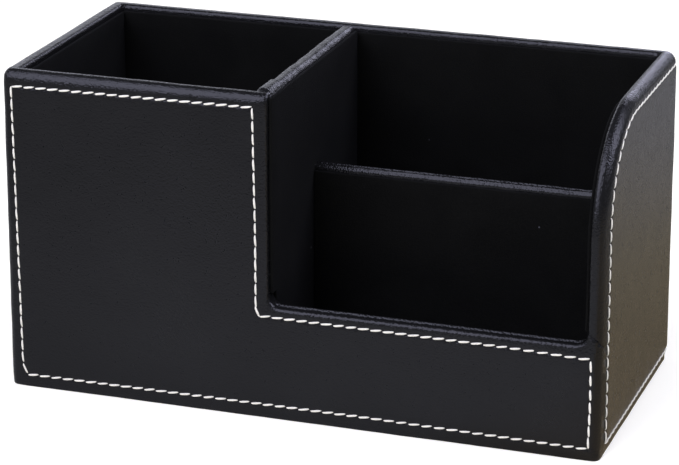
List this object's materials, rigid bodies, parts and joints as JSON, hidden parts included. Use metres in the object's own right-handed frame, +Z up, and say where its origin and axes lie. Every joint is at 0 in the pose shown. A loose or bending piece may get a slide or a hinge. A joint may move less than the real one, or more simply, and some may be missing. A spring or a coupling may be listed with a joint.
{
  "type": "desk organizer caddy",
  "caption": "Leatherette-covered desk caddy with open velvet-lined bays for pens, letters and small items, a stepped front, a swept side wall and contrast stitching.",
  "frame": {"origin": "middle of the underside, on the surface that the caddy stands on", "axes": "+X to the right along the front, +Y from the front to the back, +Z up"},
  "size_m": [0.2008, 0.0932, 0.1085],
  "materials": {
    "fibreboard": "sawn medium-density fibreboard, unpainted and hidden by the covers",
    "black_leatherette": "fine-grained matt black leatherette with soft turned edges",
    "black_velvet": "short-pile black velvet on card",
    "base_felt": "thin pressed black felt",
    "white_thread": "thick white polyester thread"
  },
  "bodies": {
    "root": {"left_board": "fibreboard", "right_board": "fibreboard", "back_board": "fibreboard", "front_board": "fibreboard", "base_board": "fibreboard", "tall_divider_board": "fibreboard", "low_divider_board": "fibreboard", "front_cover": "black_leatherette", "side_wrap_cover": "black_leatherette", "tall_divider_cap": "black_leatherette", "low_divider_cap": "black_leatherette", "pen_floor_lining": "black_velvet", "bay_floor_lining": "black_velvet", "pen_front_lining": "black_velvet", "pen_back_lining": "black_velvet", "pen_left_lining": "black_velvet", "pen_divider_lining": "black_velvet", "bay_back_lining": "black_velvet", "bay_front_lining": "black_velvet", "bay_left_lining": "black_velvet", "bay_right_lining": "black_velvet", "low_divider_front_lining": "black_velvet", "low_divider_back_lining": "black_velvet", "base_pad": "base_felt", "front_stitching": "white_thread", "left_stitching": "white_thread", "right_stitching": "white_thread", "back_stitching": "white_thread"}
  },
  "joints": []
}
